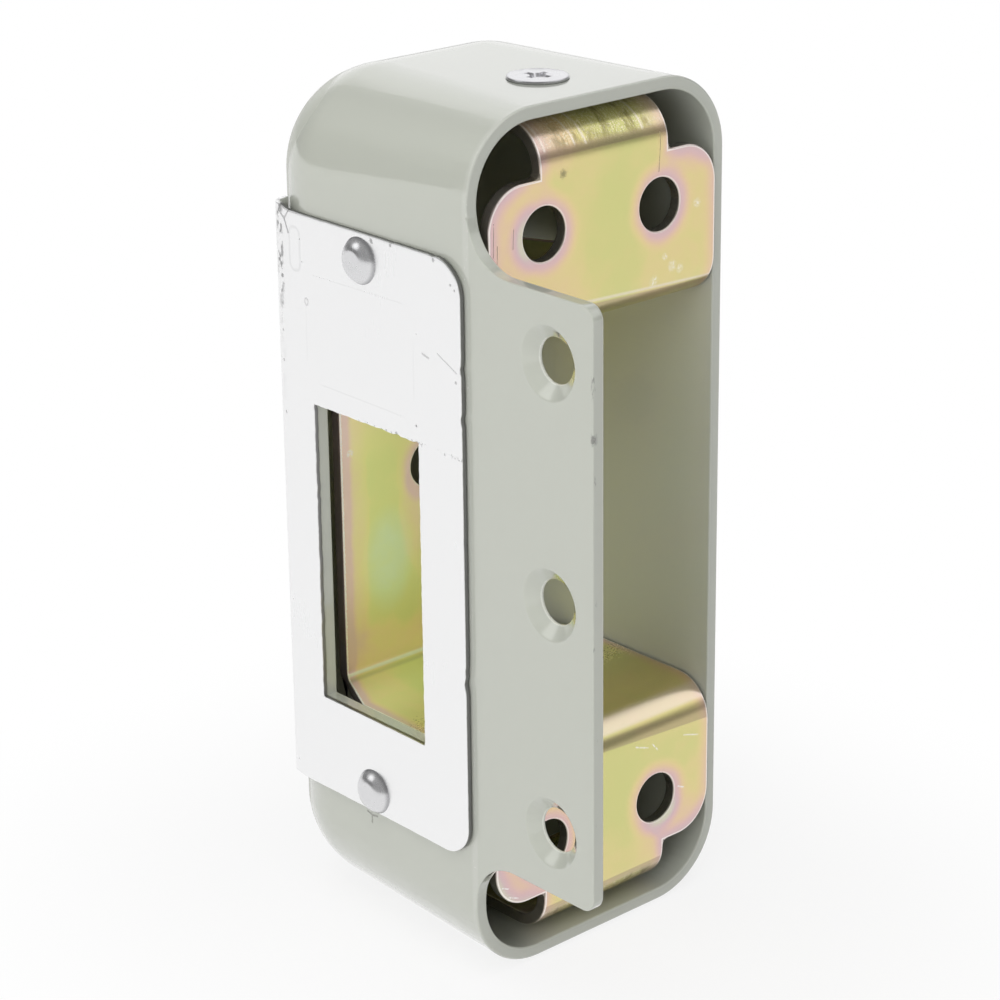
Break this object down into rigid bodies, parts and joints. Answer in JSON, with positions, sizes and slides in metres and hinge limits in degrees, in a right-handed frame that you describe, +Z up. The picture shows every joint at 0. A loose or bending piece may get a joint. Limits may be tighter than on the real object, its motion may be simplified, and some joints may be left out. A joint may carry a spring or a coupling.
{
  "type": "door strike box",
  "caption": "Surface strike box for a door lock: pressed cover with a screw flange, wear plate round the bolt window, and a bent fixing bracket inside.",
  "frame": {"origin": "middle of the four frame screw holes, in the plane where the bracket's tabs lie on the door frame", "axes": "+X across, away from the bolt window; +Y away from the door frame, into the box; +Z up"},
  "size_m": [0.0418, 0.0596, 0.1058],
  "materials": {
    "cover_paint": "satin grey-green paint",
    "yellow_zinc": "zinc plated steel, yellow passivated with a rainbow sheen",
    "bright_plate": "bright rolled sheet, scratched",
    "rivet_steel": "bright",
    "screw_zinc": "zinc plated, clear passivated"
  },
  "bodies": {
    "root": {"cover": "cover_paint", "bracket": "yellow_zinc", "wear_plate": "bright_plate", "upper_rivet": "rivet_steel", "lower_rivet": "rivet_steel", "top_screw": "screw_zinc", "bottom_screw": "screw_zinc"}
  },
  "joints": []
}
